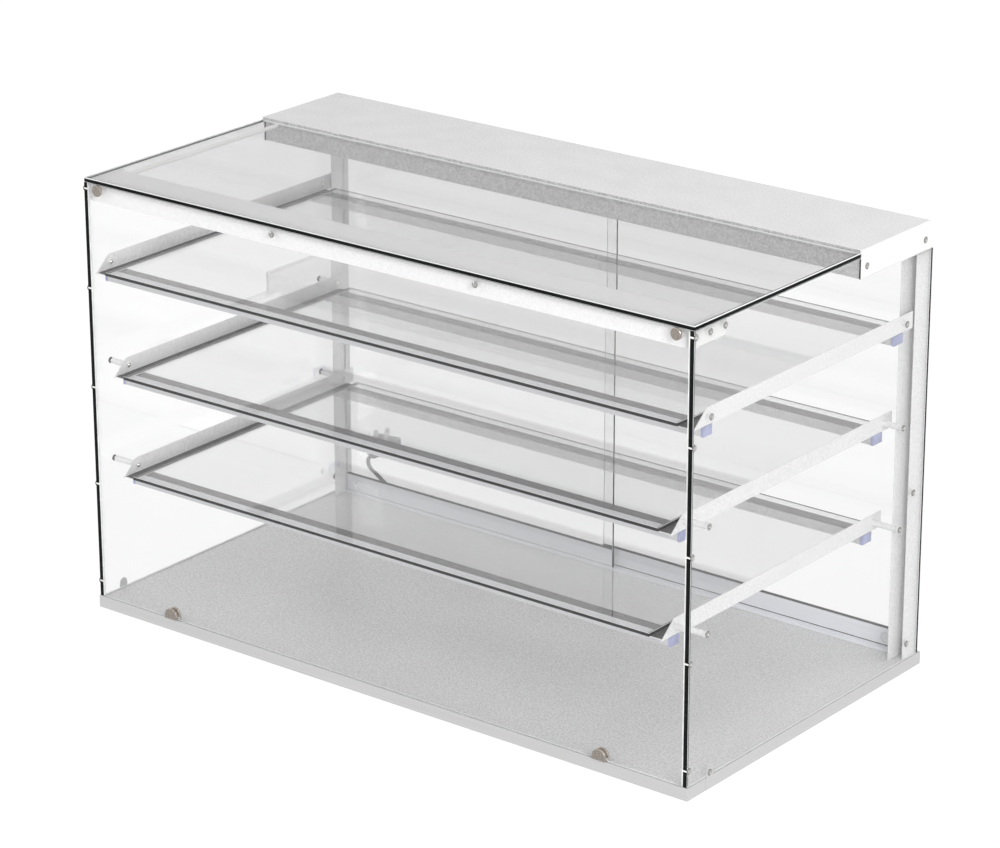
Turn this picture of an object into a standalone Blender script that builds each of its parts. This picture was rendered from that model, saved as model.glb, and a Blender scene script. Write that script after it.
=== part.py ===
"""Glass bakery display case with three fixed shelves and two sliding rear doors.

Frame: X right along the width, Y towards the staff side, Z up. The origin is the
centre of the underside of the base, and every length is in metres.
"""

import math

import bmesh
import bpy
from mathutils import Vector

# Overall sizes
WIDTH = 1.200
DEPTH = 0.642
BASE_TOP = 0.021
HEIGHT = 0.7485

# General
GAP = 0.0003
SHEET = 0.0012
PLATE = 0.0015
HALF_W = WIDTH / 2
HALF_D = DEPTH / 2

# Glass case
GLASS = 0.008
SIDE_OUT = HALF_W - PLATE
SIDE_IN = SIDE_OUT - GLASS
FRONT_OUT = -HALF_D + PLATE
FRONT_IN = FRONT_OUT + GLASS
GLASS_BOTTOM = BASE_TOP + GAP
TOP_UNDER = 0.7365
TOP_UPPER = TOP_UNDER + GLASS
SIDE_REAR = 0.314

# Base
SKIRT_BOTTOM = 0.0004
BOARD_TOP = 0.0190
PAN_TOP = 0.0207
FRONT_SKIRT_RETURN = 0.0485
REAR_SKIRT_RETURN = 0.0207
EAR_Y = -0.2635
EAR_Z = 0.0275
EAR_R = 0.0085

# Header over the doors
HEADER_FRONT = 0.1107
HEADER_REAR = 0.3055
HEADER_UNDER = 0.7030
UNDERPAN_Z = (0.7042, 0.7054)

# Front light beam
BEAM_FRONT = FRONT_IN + GAP
BEAM_REAR = -0.2480
BEAM_UNDER = 0.7067
BEAM_LIP = 0.012
CONDUIT_X = -0.565
CONDUIT_R = 0.0032

# Rear posts, tracks and doors
POST_WEB = 0.5735
POST_FRONT = 0.2566
POST_LEG_FRONT = 0.2750
POST_REAR = 0.3030
POST_LEG_REAR = 0.3135
TRACK_FRONT = 0.2835
TRACK_RIBS = (0.2835, 0.2929, 0.3018)
DOOR_Y = {"left": 0.2890, "right": 0.2980}
DOOR_END = 0.5715
DOOR_OVERLAP = 0.0125
DOOR_GLASS = 0.004
DOOR_TOP = 0.7060
RAIL_T = 0.0064
RAIL_SLOT = 0.0046
RAIL_BOTTOM = 0.0235
RAIL_TOP = 0.0570
RAIL_SLOT_FLOOR = 0.0508
PULL_INSET = 0.0275
PULL_R = 0.0093
PULL_Z = 0.0400
PULL_WEB = 0.0014

# Shelves, top to bottom: height of the standoffs and half span over the brackets
SHELF_Z = (0.5950, 0.4245, 0.2540)
SHELF_SPAN = (0.5880, 0.5565, 0.5430)
FLANGE_HALF = 0.0135
NOSE_Y = -0.3085
NOSE_TOP_Y = -0.2770
BRACKET_REAR = 0.2720
LEDGE_W = 0.028
LEDGE_REAR = 0.2545
SHELF_GLASS = 0.006
SHELF_GLASS_INSET = 0.0225
SHELF_FRONT = -0.3090
SHELF_REAR = 0.2560
STANDOFF_Y = (-0.2740, 0.2470)
STANDOFF_R = 0.0050
RAIL_BAR_Y = ((-0.2850, -0.2645), (0.2200, 0.2445))
RAIL_BAR_H = 0.0162

# Front glass clips and corner caps
CLIP_X = 0.437
CLIP_R = 0.0125
CLIP_FRONT = -0.3235
CLIP_REAR = -0.3075
CLIP_BRIDGE = 0.0240
CAP_X = 0.568
CAP_Z = 0.7275
CAP_R = 0.0094
CAP_T = 0.004

# Mains lead
CORD_R = 0.0035
CORD_GAP = 0.0010
GLAND = Vector((0.450, HALF_D + GAP, 0.0105))
GLAND_LENGTH = 0.0262
HANK_X = (0.250, 0.390)
HANK_Y = (0.3290, 0.3710)
HANK_TOP = 0.0140
CORD_FLOOR = 0.0037
LEAD_ROUTE = (
    (0.4500, 0.3481, 0.0105),
    (0.4498, 0.3515, 0.0105),
    (0.4468, 0.3612, 0.0100),
    (0.4395, 0.3682, 0.0078),
    (0.4290, 0.3710, 0.0054),
    (0.4180, 0.3710, 0.0040),
    (0.4078, 0.3710, CORD_FLOOR),
)
RUN_ROUTE = (
    (0.2322, 0.3710, 0.0105),
    (0.2150, 0.3702, 0.0090),
    (0.1850, 0.3670, 0.0048),
    (0.1500, 0.3610, CORD_FLOOR),
    (0.0600, 0.3480, CORD_FLOOR),
    (-0.0600, 0.3520, CORD_FLOOR),
    (-0.1800, 0.3560, CORD_FLOOR),
    (-0.3000, 0.3490, CORD_FLOOR),
    (-0.4000, 0.3440, CORD_FLOOR),
    (-0.4750, 0.3500, CORD_FLOOR),
    (-0.5300, 0.3700, CORD_FLOOR),
    (-0.5805, 0.4000, CORD_FLOOR),
    (-0.6200, 0.4240, CORD_FLOOR),
    (-0.6480, 0.4405, 0.0042),
    (-0.6650, 0.4560, 0.0070),
    (-0.6727, 0.4680, 0.0093),
    (-0.6753, 0.4745, 0.0095),
    (-0.6760, 0.4800, 0.0095),
)
PLUG_HEADING = Vector((-0.12, 0.99, 0.0)).normalized()
PLUG_NECK = ((0.0, 0.0062), (0.0015, 0.0080), (0.0240, 0.0088))
PLUG_BODY = (0.0180, 0.0620)
PLUG_HALF = 0.0270
PLUG_Z = (0.0005, 0.0235)
PIN_TOP = 0.0410
PINS = ((0.0310, 0.0110), (0.0310, -0.0110), (0.0520, 0.0))
PIN_HALF = (0.0020, 0.0032)


def clear_scene():
    for obj in list(bpy.data.objects):
        bpy.data.objects.remove(obj, do_unlink=True)


def make_material(name, colour, roughness, metallic=0.0, alpha=1.0):
    material = bpy.data.materials.new(name)
    material.use_nodes = True
    shader = material.node_tree.nodes["Principled BSDF"]
    shader.inputs["Base Color"].default_value = (*colour, 1.0)
    shader.inputs["Roughness"].default_value = roughness
    shader.inputs["Metallic"].default_value = metallic
    shader.inputs["Alpha"].default_value = alpha
    return material


def make_materials():
    return {
        "glass": make_material("clear_glass", (0.90, 0.95, 0.94), 0.02, alpha=0.2),
        "brushed": make_material("brushed_steel", (0.78, 0.78, 0.77), 0.35, 0.9),
        "satin": make_material("satin_nickel", (0.58, 0.53, 0.48), 0.35, 0.9),
        "white": make_material("white_painted", (0.90, 0.90, 0.89), 0.45),
        "rail": make_material("anodised_rail", (0.74, 0.75, 0.80), 0.4, 0.6),
        "board": make_material("sealed_board", (0.45, 0.36, 0.26), 0.7),
        "diffuser": make_material("frosted_diffuser", (0.93, 0.93, 0.91), 0.6),
        "circuit": make_material("led_board", (0.85, 0.85, 0.80), 0.5),
        "plastic": make_material("dark_plastic", (0.06, 0.06, 0.065), 0.5),
    }


def add_object(name, mesh_data, material):
    mesh = bpy.data.meshes.new(name)
    bmesh.ops.recalc_face_normals(mesh_data, faces=mesh_data.faces[:])
    mesh_data.to_mesh(mesh)
    mesh_data.free()
    mesh.materials.append(material)
    obj = bpy.data.objects.new(name, mesh)
    bpy.context.scene.collection.objects.link(obj)
    return obj


def extrude(name, axis, outline, low, high, material):
    """A prism: the outline lies across the axis, in the order of the other two axes."""
    others = [i for i in range(3) if i != axis]
    shape = bmesh.new()
    corners = []
    for point in outline:
        place = [0.0, 0.0, 0.0]
        place[axis] = low
        place[others[0]], place[others[1]] = point
        corners.append(shape.verts.new(place))
    face = shape.faces.new(corners)
    grown = bmesh.ops.extrude_face_region(shape, geom=[face])
    shift = Vector([high - low if i == axis else 0.0 for i in range(3)])
    moved = [v for v in grown["geom"] if isinstance(v, bmesh.types.BMVert)]
    bmesh.ops.translate(shape, verts=moved, vec=shift)
    return add_object(name, shape, material)


def box(name, low, high, material):
    outline = ((low[1], low[2]), (high[1], low[2]), (high[1], high[2]), (low[1], high[2]))
    return extrude(name, 0, outline, low[0], high[0], material)


def arc(centre, radius, start, end, steps):
    """Points along an arc, from one angle in degrees to another."""
    angles = [math.radians(start + (end - start) * i / steps) for i in range(steps + 1)]
    return [(centre[0] + radius * math.cos(a), centre[1] + radius * math.sin(a)) for a in angles]


def circle(centre, radius, steps=24):
    return arc(centre, radius, 0, 360, steps)[:-1]


def turned(name, profile, start, heading, material, steps=24):
    """A solid of revolution: the profile gives distances along the heading and radii."""
    turn = Vector((0, 0, 1)).rotation_difference(heading.normalized()).to_matrix()
    shape = bmesh.new()
    rings = []
    for along, radius in profile:
        flat = circle((0.0, 0.0), radius, steps)
        rings.append([shape.verts.new(start + turn @ Vector((x, y, along))) for x, y in flat])
    for lower, upper in zip(rings, rings[1:]):
        for i in range(steps):
            j = (i + 1) % steps
            shape.faces.new((lower[i], lower[j], upper[j], upper[i]))
    shape.faces.new(rings[0][::-1])
    shape.faces.new(rings[-1])
    obj = add_object(name, shape, material)
    obj.data.shade_smooth()
    obj.data.set_sharp_from_angle(angle=math.radians(35))
    return obj


def combine(target, helpers, operation):
    """Boolean of each helper with the target. The helpers stay as hidden wireframes."""
    for helper in helpers:
        helper.hide_render = True
        helper.display_type = "WIRE"
        modifier = target.modifiers.new(operation.lower(), "BOOLEAN")
        modifier.operation = operation
        modifier.object = helper
    return target


def mirrored(outline):
    """The same outline on the other side of the first axis."""
    return [(-first, second) for first, second in outline]


def span(side, inner, outer):
    """Low and high X of something between two distances from the middle, on one side."""
    return tuple(sorted((side * inner, side * outer)))


SIDES = {"left": -1, "right": 1}


def build_base(look):
    half_w, half_d = HALF_W - 0.0017, HALF_D - 0.0018
    box("base_core_board", (-half_w, -half_d, 0.0), (half_w, half_d, BOARD_TOP), look["board"])
    pan_low = (-half_w, -half_d, BOARD_TOP + GAP)
    box("floor_pan", pan_low, (half_w, half_d, PAN_TOP), look["brushed"])
    inner_w, inner_d = HALF_W - SHEET, HALF_D - SHEET
    for name, sign, length in (
        ("front_skirt", -1, FRONT_SKIRT_RETURN),
        ("rear_skirt", 1, REAR_SKIRT_RETURN),
    ):
        ends = sign * (HALF_D - length)
        outline = [
            (-HALF_W, sign * HALF_D),
            (HALF_W, sign * HALF_D),
            (HALF_W, ends),
            (inner_w, ends),
            (inner_w, sign * inner_d),
            (-inner_w, sign * inner_d),
            (-inner_w, ends),
            (-HALF_W, ends),
        ]
        extrude(name, 2, outline, SKIRT_BOTTOM, BASE_TOP, look["brushed"])
    front = -HALF_D + FRONT_SKIRT_RETURN + GAP
    rear = HALF_D - REAR_SKIRT_RETURN - GAP
    outline = [(front, SKIRT_BOTTOM), (rear, SKIRT_BOTTOM), (rear, BASE_TOP)]
    outline += [(EAR_Y + EAR_R, BASE_TOP), *arc((EAR_Y, EAR_Z), EAR_R, 0, 180, 12)]
    outline += [(EAR_Y - EAR_R, BASE_TOP), (front, BASE_TOP)]
    for label, side in SIDES.items():
        low, high = span(side, inner_w, HALF_W)
        extrude(f"side_skirt_{label}", 0, outline, low, high, look["brushed"])


def build_glass(look):
    bottom, top = GLASS_BOTTOM, TOP_UNDER - GAP
    outline = [
        (FRONT_OUT, bottom),
        (SIDE_REAR, bottom),
        (SIDE_REAR, HEADER_UNDER - GAP),
        (HEADER_FRONT - GAP, HEADER_UNDER - GAP),
        (HEADER_FRONT - GAP, top),
        (FRONT_OUT, top),
    ]
    for label, side in SIDES.items():
        low, high = span(side, SIDE_IN, SIDE_OUT)
        extrude(f"side_glass_{label}", 0, outline, low, high, look["glass"])
    half = SIDE_IN - GAP
    notch, roof = CLIP_R + GAP, CLIP_BRIDGE + GAP
    outline = [(-half, bottom)]
    for centre in (-CLIP_X, CLIP_X):
        outline += [(centre - notch, bottom), (centre - notch, roof)]
        outline += [(centre + notch, roof), (centre + notch, bottom)]
    outline += [(half, bottom), (half, top), (-half, top)]
    extrude("front_glass", 1, outline, FRONT_OUT, FRONT_IN, look["glass"])
    low = (-SIDE_OUT, FRONT_OUT, TOP_UNDER)
    high = (SIDE_OUT, HEADER_FRONT - GAP, TOP_UPPER)
    box("top_glass", low, high, look["glass"])


def build_glass_fittings(look):
    for label, side in SIDES.items():
        centre = side * CLIP_X
        straight = GLASS_BOTTOM + 0.0057
        outline = [(centre - CLIP_R, GLASS_BOTTOM), (centre + CLIP_R, GLASS_BOTTOM)]
        outline += arc((centre, straight), CLIP_R, 0, 180, 16)
        clip = extrude(f"front_clip_{label}", 1, outline, CLIP_FRONT, CLIP_REAR, look["satin"])
        low = (centre - 0.02, FRONT_OUT - GAP, CLIP_BRIDGE)
        high = (centre + 0.02, FRONT_IN + GAP, CLIP_BRIDGE + 0.04)
        slot = box(f"clip_slot_cutter_{label}", low, high, look["satin"])
        combine(clip, [slot], "DIFFERENCE")
        start = Vector((side * CAP_X, FRONT_OUT - GAP, CAP_Z))
        profile = ((0.0, CAP_R), (CAP_T - 0.0008, CAP_R), (CAP_T, CAP_R - 0.0008))
        turned(f"corner_cap_{label}", profile, start, Vector((0, -1, 0)), look["satin"], 32)


def build_light(look):
    top, under = TOP_UNDER - GAP, BEAM_UNDER
    outline = [
        (BEAM_FRONT, under),
        (BEAM_FRONT + BEAM_LIP, under),
        (BEAM_FRONT + BEAM_LIP, under + SHEET),
        (BEAM_FRONT + SHEET, under + SHEET),
        (BEAM_FRONT + SHEET, top - SHEET),
        (BEAM_REAR - SHEET, top - SHEET),
        (BEAM_REAR - SHEET, under + SHEET),
        (BEAM_REAR - BEAM_LIP, under + SHEET),
        (BEAM_REAR - BEAM_LIP, under),
        (BEAM_REAR, under),
        (BEAM_REAR, top),
        (BEAM_FRONT, top),
    ]
    half = SIDE_IN - GAP - PLATE - GAP
    extrude("light_beam", 0, outline, -half, half, look["brushed"])
    rear, bottom, radius = BEAM_REAR + 0.012, 0.7095, 0.006
    outline = [(BEAM_FRONT, bottom), *arc((rear - radius, bottom + radius), radius, -90, 0, 6)]
    outline += [(rear, top), (BEAM_FRONT, top)]
    for label, side in SIDES.items():
        low, high = span(side, half + GAP, half + GAP + PLATE)
        extrude(f"light_beam_end_{label}", 0, outline, low, high, look["white"])
    inner = half - 0.002
    low = (-inner, BEAM_FRONT + SHEET + GAP, under + SHEET + GAP)
    high = (inner, BEAM_REAR - SHEET - GAP, under + SHEET + GAP + 0.002)
    box("light_diffuser", low, high, look["diffuser"])
    middle = (BEAM_FRONT + BEAM_REAR) / 2
    low = (-inner + 0.02, middle - 0.010, top - SHEET - GAP - 0.0016)
    high = (inner - 0.02, middle + 0.010, top - SHEET - GAP)
    box("led_strip", low, high, look["circuit"])
    centre = (CONDUIT_X, TOP_UNDER - GAP - CONDUIT_R)
    start, end = BEAM_REAR + GAP, HEADER_FRONT - GAP
    conduit = extrude("wiring_conduit", 1, circle(centre, CONDUIT_R, 16), start, end, look["white"])
    conduit.data.shade_smooth()
    conduit.data.set_sharp_from_angle(angle=math.radians(35))


def build_header(look):
    inner_top = HEIGHT - PLATE
    outline = [
        (HEADER_FRONT, HEADER_UNDER),
        (HEADER_FRONT + PLATE, HEADER_UNDER),
        (HEADER_FRONT + PLATE, inner_top),
        (HEADER_REAR - PLATE, inner_top),
        (HEADER_REAR - PLATE, HEADER_UNDER),
        (HEADER_REAR, HEADER_UNDER),
        (HEADER_REAR, HEIGHT),
        (HEADER_FRONT, HEIGHT),
    ]
    half = SIDE_OUT - PLATE - GAP
    extrude("header_canopy", 0, outline, -half, half, look["brushed"])
    outline = [
        (HEADER_FRONT, HEADER_UNDER),
        (SIDE_REAR, HEADER_UNDER),
        (SIDE_REAR, HEADER_UNDER + 0.012),
        (HEADER_REAR, HEIGHT),
        (HEADER_FRONT, HEIGHT),
    ]
    for label, side in SIDES.items():
        low, high = span(side, half + GAP, SIDE_OUT)
        extrude(f"header_end_{label}", 0, outline, low, high, look["white"])
    low = (-half, HEADER_FRONT + PLATE + GAP, UNDERPAN_Z[0])
    high = (half, TRACK_FRONT - GAP, UNDERPAN_Z[1])
    box("header_underpan", low, high, look["white"])
    low = (-0.420, 0.150, UNDERPAN_Z[1] + GAP)
    box("led_driver", low, (-0.240, 0.200, 0.7330), look["plastic"])


def build_posts(look):
    leg = SIDE_IN - GAP
    outline = [
        (POST_WEB, POST_FRONT),
        (POST_WEB + PLATE, POST_FRONT),
        (POST_WEB + PLATE, POST_REAR - PLATE),
        (leg - PLATE, POST_REAR - PLATE),
        (leg - PLATE, POST_LEG_FRONT),
        (leg, POST_LEG_FRONT),
        (leg, POST_LEG_REAR),
        (leg - PLATE, POST_LEG_REAR),
        (leg - PLATE, POST_REAR),
        (POST_WEB, POST_REAR),
    ]
    bottom, top = PAN_TOP + GAP, HEADER_UNDER - 0.0005
    extrude("rear_post_right", 2, outline, bottom, top, look["brushed"])
    extrude("rear_post_left", 2, mirrored(outline), bottom, top, look["brushed"])


def build_tracks(look):
    half = POST_WEB - GAP
    for name, back, face, edge in (
        ("door_track_bottom", PAN_TOP + GAP, PAN_TOP + GAP + PLATE, 0.0262),
        ("door_track_top", 0.7110, 0.7095, 0.6960),
    ):
        first, second, third = TRACK_RIBS
        outline = [(first, back), (third + SHEET, back), (third + SHEET, edge), (third, edge)]
        outline += [(third, face), (second + SHEET, face), (second + SHEET, edge), (second, edge)]
        outline += [(second, face), (first + SHEET, face), (first + SHEET, edge), (first, edge)]
        extrude(name, 0, outline, -half, half, look["rail"])


def build_door(look, label, side):
    middle = DOOR_Y[label]
    low, high = span(side, DOOR_END, -DOOR_OVERLAP)
    half, slot = RAIL_T / 2, RAIL_SLOT / 2
    outline = [
        (middle - half, RAIL_BOTTOM),
        (middle + half, RAIL_BOTTOM),
        (middle + half, RAIL_TOP),
        (middle + slot, RAIL_TOP),
        (middle + slot, RAIL_SLOT_FLOOR),
        (middle - slot, RAIL_SLOT_FLOOR),
        (middle - slot, RAIL_TOP),
        (middle - half, RAIL_TOP),
    ]
    rail = extrude(f"door_{label}_rail", 0, outline, low, high, look["rail"])
    centre = (side * (DOOR_END - PULL_INSET), PULL_Z)
    bore = circle(centre, PULL_R + GAP, 32)
    cutter = extrude(f"pull_cutter_{label}", 1, bore, middle - 0.02, middle + 0.02, look["rail"])
    combine(rail, [cutter], "DIFFERENCE")
    glass_low = (low, middle - DOOR_GLASS / 2, RAIL_SLOT_FLOOR + GAP)
    glass_high = (high, middle + DOOR_GLASS / 2, DOOR_TOP)
    box(f"door_{label}_glass", glass_low, glass_high, look["glass"])
    rim = circle(centre, PULL_R, 32)
    front, back = middle - half, middle + half
    pull = extrude(f"door_{label}_finger_pull", 1, rim, front, back, look["rail"])
    hollow = circle(centre, PULL_R - 0.0013, 32)
    web_front, web_back = middle - PULL_WEB / 2, middle + PULL_WEB / 2
    dish = extrude(f"pull_dish_{label}", 1, hollow, front - 0.01, web_front, look["rail"])
    cup = extrude(f"pull_cup_{label}", 1, hollow, web_back, back + 0.01, look["rail"])
    combine(pull, [dish, cup], "DIFFERENCE")


def build_bracket(look, name, side, outer, height):
    """Sheet-metal angle with two standoffs that reach the side glass."""
    lower, upper = height - FLANGE_HALF, height + FLANGE_HALF
    flange = [(NOSE_Y, lower), (BRACKET_REAR, lower), (BRACKET_REAR, upper), (NOSE_TOP_Y, upper)]
    low, high = span(side, outer - PLATE, outer)
    bracket = extrude(name, 0, flange, low, high, look["brushed"])
    low, high = span(side, outer - LEDGE_W, outer - PLATE / 2)
    ledge_low = (low, NOSE_Y + 0.0045, lower)
    ledge = box(f"{name}_ledge", ledge_low, (high, LEDGE_REAR, lower + PLATE), look["brushed"])
    low, high = span(side, outer - PLATE / 2, SIDE_IN - GAP)
    standoffs = [
        extrude(f"{name}_standoff_{i}", 0, outline, low, high, look["brushed"])
        for i, outline in enumerate(circle((y, height), STANDOFF_R, 16) for y in STANDOFF_Y)
    ]
    combine(bracket, [ledge, *standoffs], "UNION")


def build_rail_bar(look, name, y_range, outer, height):
    """Folded cross rail under the glass: a tray that opens downwards."""
    top = height - FLANGE_HALF - GAP
    low = Vector((-outer, y_range[0], top - RAIL_BAR_H))
    high = Vector((outer, y_range[1], top))
    wall = Vector((PLATE, PLATE, -0.01))
    rail = box(name, low, high, look["rail"])
    pocket_high = high - Vector((PLATE, PLATE, PLATE))
    pocket = box(f"{name}_pocket", low + wall, pocket_high, look["rail"])
    combine(rail, [pocket], "DIFFERENCE")


def build_shelf(look, number, height, outer):
    for label, side in SIDES.items():
        build_bracket(look, f"shelf_{number}_bracket_{label}", side, outer, height)
    half = outer - SHELF_GLASS_INSET
    bottom = height - FLANGE_HALF + PLATE + GAP
    low = (-half, SHELF_FRONT, bottom)
    high = (half, SHELF_REAR, bottom + SHELF_GLASS)
    box(f"shelf_{number}_glass", low, high, look["glass"])
    for label, y_range in zip(("front", "rear"), RAIL_BAR_Y):
        build_rail_bar(look, f"shelf_{number}_{label}_rail", y_range, outer, height)


def smooth_route(points, spacing):
    """Evenly spaced points on a smooth curve through the given ones."""
    given = [Vector(p) for p in points]
    padded = [2 * given[0] - given[1], *given, 2 * given[-1] - given[-2]]
    fine = []
    for a, b, c, d in zip(padded, padded[1:], padded[2:], padded[3:]):
        for i in range(20):
            t = i / 20
            cubic = 2 * b + (c - a) * t + (2 * a - 5 * b + 4 * c - d) * t * t
            cubic += (3 * b - a - 3 * c + d) * t * t * t
            fine.append(cubic / 2)
    fine.append(given[-1])
    lengths = [0.0]
    for a, b in zip(fine, fine[1:]):
        lengths.append(lengths[-1] + (b - a).length)
    count = round(lengths[-1] / spacing)
    route = []
    for i in range(count + 1):
        wanted = lengths[-1] * i / count
        k = next(n for n in range(1, len(fine)) if lengths[n] >= wanted - 1e-9)
        share = (wanted - lengths[k - 1]) / (lengths[k] - lengths[k - 1])
        route.append(fine[k - 1].lerp(fine[k], share))
    return route


def build_tube(name, points, spacing, material):
    curve = bpy.data.curves.new(name, "CURVE")
    curve.dimensions = "3D"
    curve.bevel_depth = CORD_R
    curve.bevel_resolution = 2
    curve.use_fill_caps = True
    route = smooth_route(points, spacing)
    spline = curve.splines.new("POLY")
    spline.points.add(len(route) - 1)
    for point, place in zip(spline.points, route):
        point.co = (*place, 1.0)
    curve.materials.append(material)
    tube = bpy.data.objects.new(name, curve)
    bpy.context.scene.collection.objects.link(tube)


def plug_outline(corners):
    """Plan points given as distances along and across the plug's heading."""
    start = Vector(RUN_ROUTE[-1])
    across = Vector((PLUG_HEADING.y, -PLUG_HEADING.x, 0.0))
    places = [start + PLUG_HEADING * along + across * beside for along, beside in corners]
    return [(place.x, place.y) for place in places]


def build_plug(look):
    """Flat moulded plug lying on its back, with a collar for the lead and three pins."""
    front, back = PLUG_BODY
    radius = 0.009
    corners = arc((back - radius, PLUG_HALF - radius), radius, 90, 0, 5)
    corners += arc((back - radius, radius - PLUG_HALF), radius, 0, -90, 5)
    corners += arc((front + radius, radius - PLUG_HALF), radius, -90, -180, 5)
    corners += arc((front + radius, PLUG_HALF - radius), radius, 180, 90, 5)
    plug = extrude("plug", 2, plug_outline(corners), *PLUG_Z, look["plastic"])
    start = Vector(RUN_ROUTE[-1]) + PLUG_HEADING * CORD_GAP
    helpers = [turned("plug_neck", PLUG_NECK, start, PLUG_HEADING, look["plastic"])]
    thin, wide = PIN_HALF
    for number, (along, beside) in enumerate(PINS):
        corners = [(along - thin, beside - wide), (along + thin, beside - wide)]
        corners += [(along + thin, beside + wide), (along - thin, beside + wide)]
        low = PLUG_Z[1] - 0.003
        pin = extrude(f"plug_pin_{number}", 2, plug_outline(corners), low, PIN_TOP, look["satin"])
        helpers.append(pin)
    combine(plug, helpers, "UNION")


def build_cord(look):
    out = Vector((0, 1, 0))
    profile = ((0.0, 0.0078), (0.0040, 0.0078), (0.0048, 0.0062), (0.0080, 0.0060))
    profile += ((GLAND_LENGTH, 0.0046),)
    turned("cord_gland", profile, GLAND, out, look["plastic"])
    build_tube("cord_lead", LEAD_ROUTE, 0.007, look["plastic"])
    build_tube("cord_run", RUN_ROUTE, 0.0125, look["plastic"])
    middle = (HANK_Y[0] + HANK_Y[1]) / 2
    radius = (HANK_Y[1] - HANK_Y[0]) / 2 + CORD_R
    outline = arc((HANK_X[1], middle), radius, -90, 90, 12)
    outline += arc((HANK_X[0], middle), radius, 90, 270, 12)
    extrude("cord_hank", 2, outline, CORD_FLOOR - CORD_R, HANK_TOP, look["plastic"])
    build_plug(look)


def main():
    clear_scene()
    look = make_materials()
    build_base(look)
    build_glass(look)
    build_glass_fittings(look)
    build_light(look)
    build_header(look)
    build_posts(look)
    build_tracks(look)
    for label, side in SIDES.items():
        build_door(look, label, side)
    for number, (height, outer) in enumerate(zip(SHELF_Z, SHELF_SPAN), start=1):
        build_shelf(look, number, height, outer)
    build_cord(look)


main()
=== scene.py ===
"""Looks for the glass bakery display case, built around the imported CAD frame."""

import math

import bmesh
import bpy
from mathutils import Matrix, Vector


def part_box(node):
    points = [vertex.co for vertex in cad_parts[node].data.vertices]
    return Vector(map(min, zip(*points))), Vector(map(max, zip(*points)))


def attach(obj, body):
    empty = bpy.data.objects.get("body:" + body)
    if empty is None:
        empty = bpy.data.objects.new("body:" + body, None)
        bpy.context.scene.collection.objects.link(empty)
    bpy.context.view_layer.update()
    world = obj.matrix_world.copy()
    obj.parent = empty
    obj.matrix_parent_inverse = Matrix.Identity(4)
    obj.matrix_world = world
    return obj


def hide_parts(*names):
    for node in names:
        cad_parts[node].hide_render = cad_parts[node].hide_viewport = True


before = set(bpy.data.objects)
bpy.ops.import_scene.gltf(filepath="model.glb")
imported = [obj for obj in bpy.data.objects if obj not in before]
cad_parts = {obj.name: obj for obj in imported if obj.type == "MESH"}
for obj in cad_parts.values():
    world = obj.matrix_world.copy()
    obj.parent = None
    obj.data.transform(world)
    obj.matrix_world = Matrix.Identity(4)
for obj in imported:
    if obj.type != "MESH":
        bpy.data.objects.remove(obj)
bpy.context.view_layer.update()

# Camera
CAMERA_PLACE = (3.5608, -4.5270, 2.5055)
CAMERA_FORWARD = (-0.58004, 0.73649, -0.34805)
CAMERA_RIGHT = (0.78598, 0.61825, -0.00163)
LENS = 138.08

# Studio light
BACKDROP = 1.04
WORLD_FILL = 0.56
HORIZON_MIRRORED = 0.18
CEILING_MIRRORED = 1.0
FLOOR_GLOW = 0.96
FLOOR_MIRRORED = 0.15
CASE_MIDDLE = (0.0, 0.0, 0.35)

# Ways a face can look
LEFT = (-1, 0, 0)
FRONT = (0, -1, 0)
BACK = (0, 1, 0)
UP = (0, 0, 1)
DOWN = (0, 0, -1)

# Glass
CLEAR_TINT = (0.989, 0.990, 0.990)
# Top and shelf glass are tinted darker: painted shade that dims what shows through them.
TOP_TINT_AND_SHADE = (0.865, 0.866, 0.866)
SHELF_TINT_AND_SHADE = (0.838, 0.839, 0.839)
LAMPLIGHT_TINT = (0.98, 0.98, 0.98, 1.0)
ARRIS = 0.0004
TOP_ARRIS = 0.0013
BEAD_W = 0.0016
BEAD_OUT = 0.00015
BEAD_SUNK = 0.0002

# Rounding of edges
THIN_R = 0.0002
SHEET_R = 0.0003
RAIL_R = 0.0004
FOLD_R = 0.0005
CLIP_R = 0.0008
DRIVER_R = 0.0015
STRIP_R = 0.00003

# Screws
HEAD_R = 0.0048
HEAD_H = 0.0015
HEAD_LIFT = 0.0001
SHANK_R = 0.0019
SOCKET_R = 0.0015
RING_R = 0.0052
LONG_SHANK = 0.0070
SHORT_SHANK = 0.0010
# Light sleeves at the edge screws: painted highlights for the bright breaks the screws make in the dark
# glass edge.
GLINT_SLEEVE_R = 0.0040
GLINT_SLEEVE_BORE = 0.0021
GLINT_SLEEVE_SPAN = (-0.0079, -0.0001)
NUT_OUTLINE = ((0.0, 0.0042), (0.0018, 0.0042), (0.0021, 0.0038), (0.0021, SHANK_R))
SHANK_END_OUTLINE = ((0.0019, SHANK_R), (0.0034, SHANK_R), (0.0038, 0.0015))

# Places of screws, along +Z or as (y, z)
EDGE_SCREW_INSET = 0.0037
EDGE_SCREW_Z = (0.7266, 0.5590, 0.3890, 0.2206, 0.0480)
BEAM_SCREWS = ((-0.2800, 0.7260), (-0.2430, 0.7260))
POST_SCREWS = ((0.2834, 0.3055), (0.2800, 0.0480))
HEADER_SCREWS = ((0.1274, 0.7202), (0.2914, 0.7200))
EAR_SCREW = (-0.2635, 0.0275)
FRONT_SCREW_X = (-0.2, 0.2)
FRONT_SCREW_Z = 0.7260

# Shelves
SHEET_T = 0.0015
LEDGE_W = 0.028
LEDGE_Y = (-0.3040, 0.2545)
STANDOFF_Y = (-0.2740, 0.2470)
END_CAP_W = 0.0045
END_CAP_OVER = 0.0004
# Dark strips on the ledges under the glass ends: painted shade.
STRIP_LIFT = 0.00028
STRIP_INSET = 0.0002

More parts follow.
